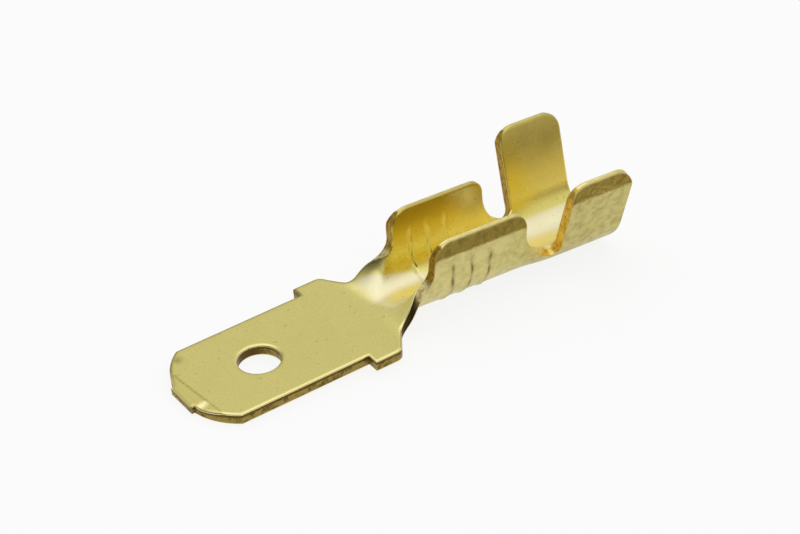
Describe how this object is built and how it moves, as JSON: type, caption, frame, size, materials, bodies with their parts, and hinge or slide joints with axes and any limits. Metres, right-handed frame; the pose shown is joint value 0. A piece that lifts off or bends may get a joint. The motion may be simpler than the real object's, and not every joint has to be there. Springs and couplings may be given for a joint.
{
  "type": "male spade terminal",
  "caption": "Flat spade tab with round nose and latch hole, stop ears, and open wire and insulation crimp barrels folded from one brass sheet.",
  "frame": {"origin": "centre of the tab's hole, on the tab's underside", "axes": "+X along the tab from its tip towards the crimp barrels, +Z out of the tab's upper face, on the side where the barrels are open"},
  "size_m": [0.0253, 0.0076, 0.0061],
  "materials": {
    "brass": "bright, lightly rolled, as stamped"
  },
  "bodies": {
    "root": {"terminal": "brass"}
  },
  "joints": []
}
